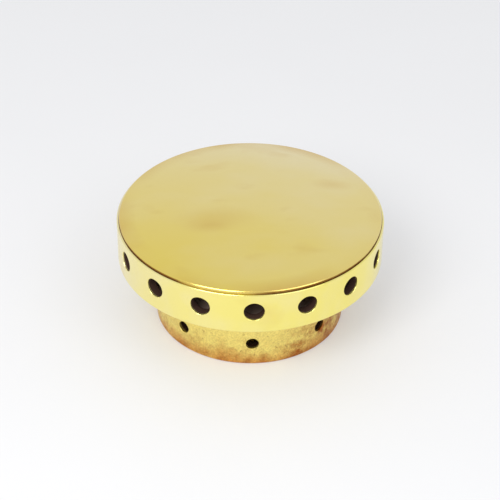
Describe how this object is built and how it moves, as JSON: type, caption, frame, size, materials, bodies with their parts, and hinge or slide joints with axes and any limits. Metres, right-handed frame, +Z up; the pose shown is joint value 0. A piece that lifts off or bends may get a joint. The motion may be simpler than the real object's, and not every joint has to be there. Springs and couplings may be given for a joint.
{
  "type": "alcohol spirit stove",
  "caption": "Round brass spirit stove: a polished closed-top burner head with side flame ports sits on a rough cast skirt that hides a spirit cup, its wick and a turning air shutter.",
  "frame": {"origin": "centre of the skirt's foot, on the surface the stove stands on", "axes": "+Z up along the stove's axis; -Y towards the first flame port and the first air hole"},
  "size_m": [0.076, 0.076, 0.0357],
  "materials": {
    "polished_brass": "turned and polished, slightly tarnished",
    "cast_brass": "rough sand-cast skin, coppery at the foot",
    "sheet_brass": "plain sheet, dull",
    "steel": "plain stainless",
    "bronze_gauze": "woven wire, heat-darkened",
    "wick_felt": "packed fibre",
    "graphite_gasket": "flat sheet, browned at its edge",
    "fibre_board": "pressed heat-proof board"
  },
  "bodies": {
    "base": {"base_skirt": "cast_brass", "base_plate": "sheet_brass", "base_snap_ring": "steel", "stop_pin": "steel", "cup_spacer": "fibre_board", "fuel_cup": "sheet_brass", "cup_screw": "steel", "wick_pad": "wick_felt", "wick_gauze": "bronze_gauze", "gauze_clip": "steel"},
    "shutter": {"air_shutter": "sheet_brass"},
    "head": {"head_ring": "polished_brass", "drive_dowels": "steel", "cover_gasket": "graphite_gasket", "head_cover": "polished_brass", "centre_stud": "steel", "flame_baffle": "sheet_brass", "baffle_nut": "steel", "bridge": "sheet_brass", "bridge_washer": "steel", "bridge_nut": "steel"}
  },
  "joints": [
    {"name": "shutter_turn", "type": "hinge", "parent": "base", "child": "shutter", "pos_m": [0, 0, 0.01], "axis": [0, 0, 1], "range_deg": [0, 15]},
    {"name": "head_lift", "type": "slide", "parent": "shutter", "child": "head", "axis": [0, 0, 1], "range_m": [0, 0.04]}
  ]
}
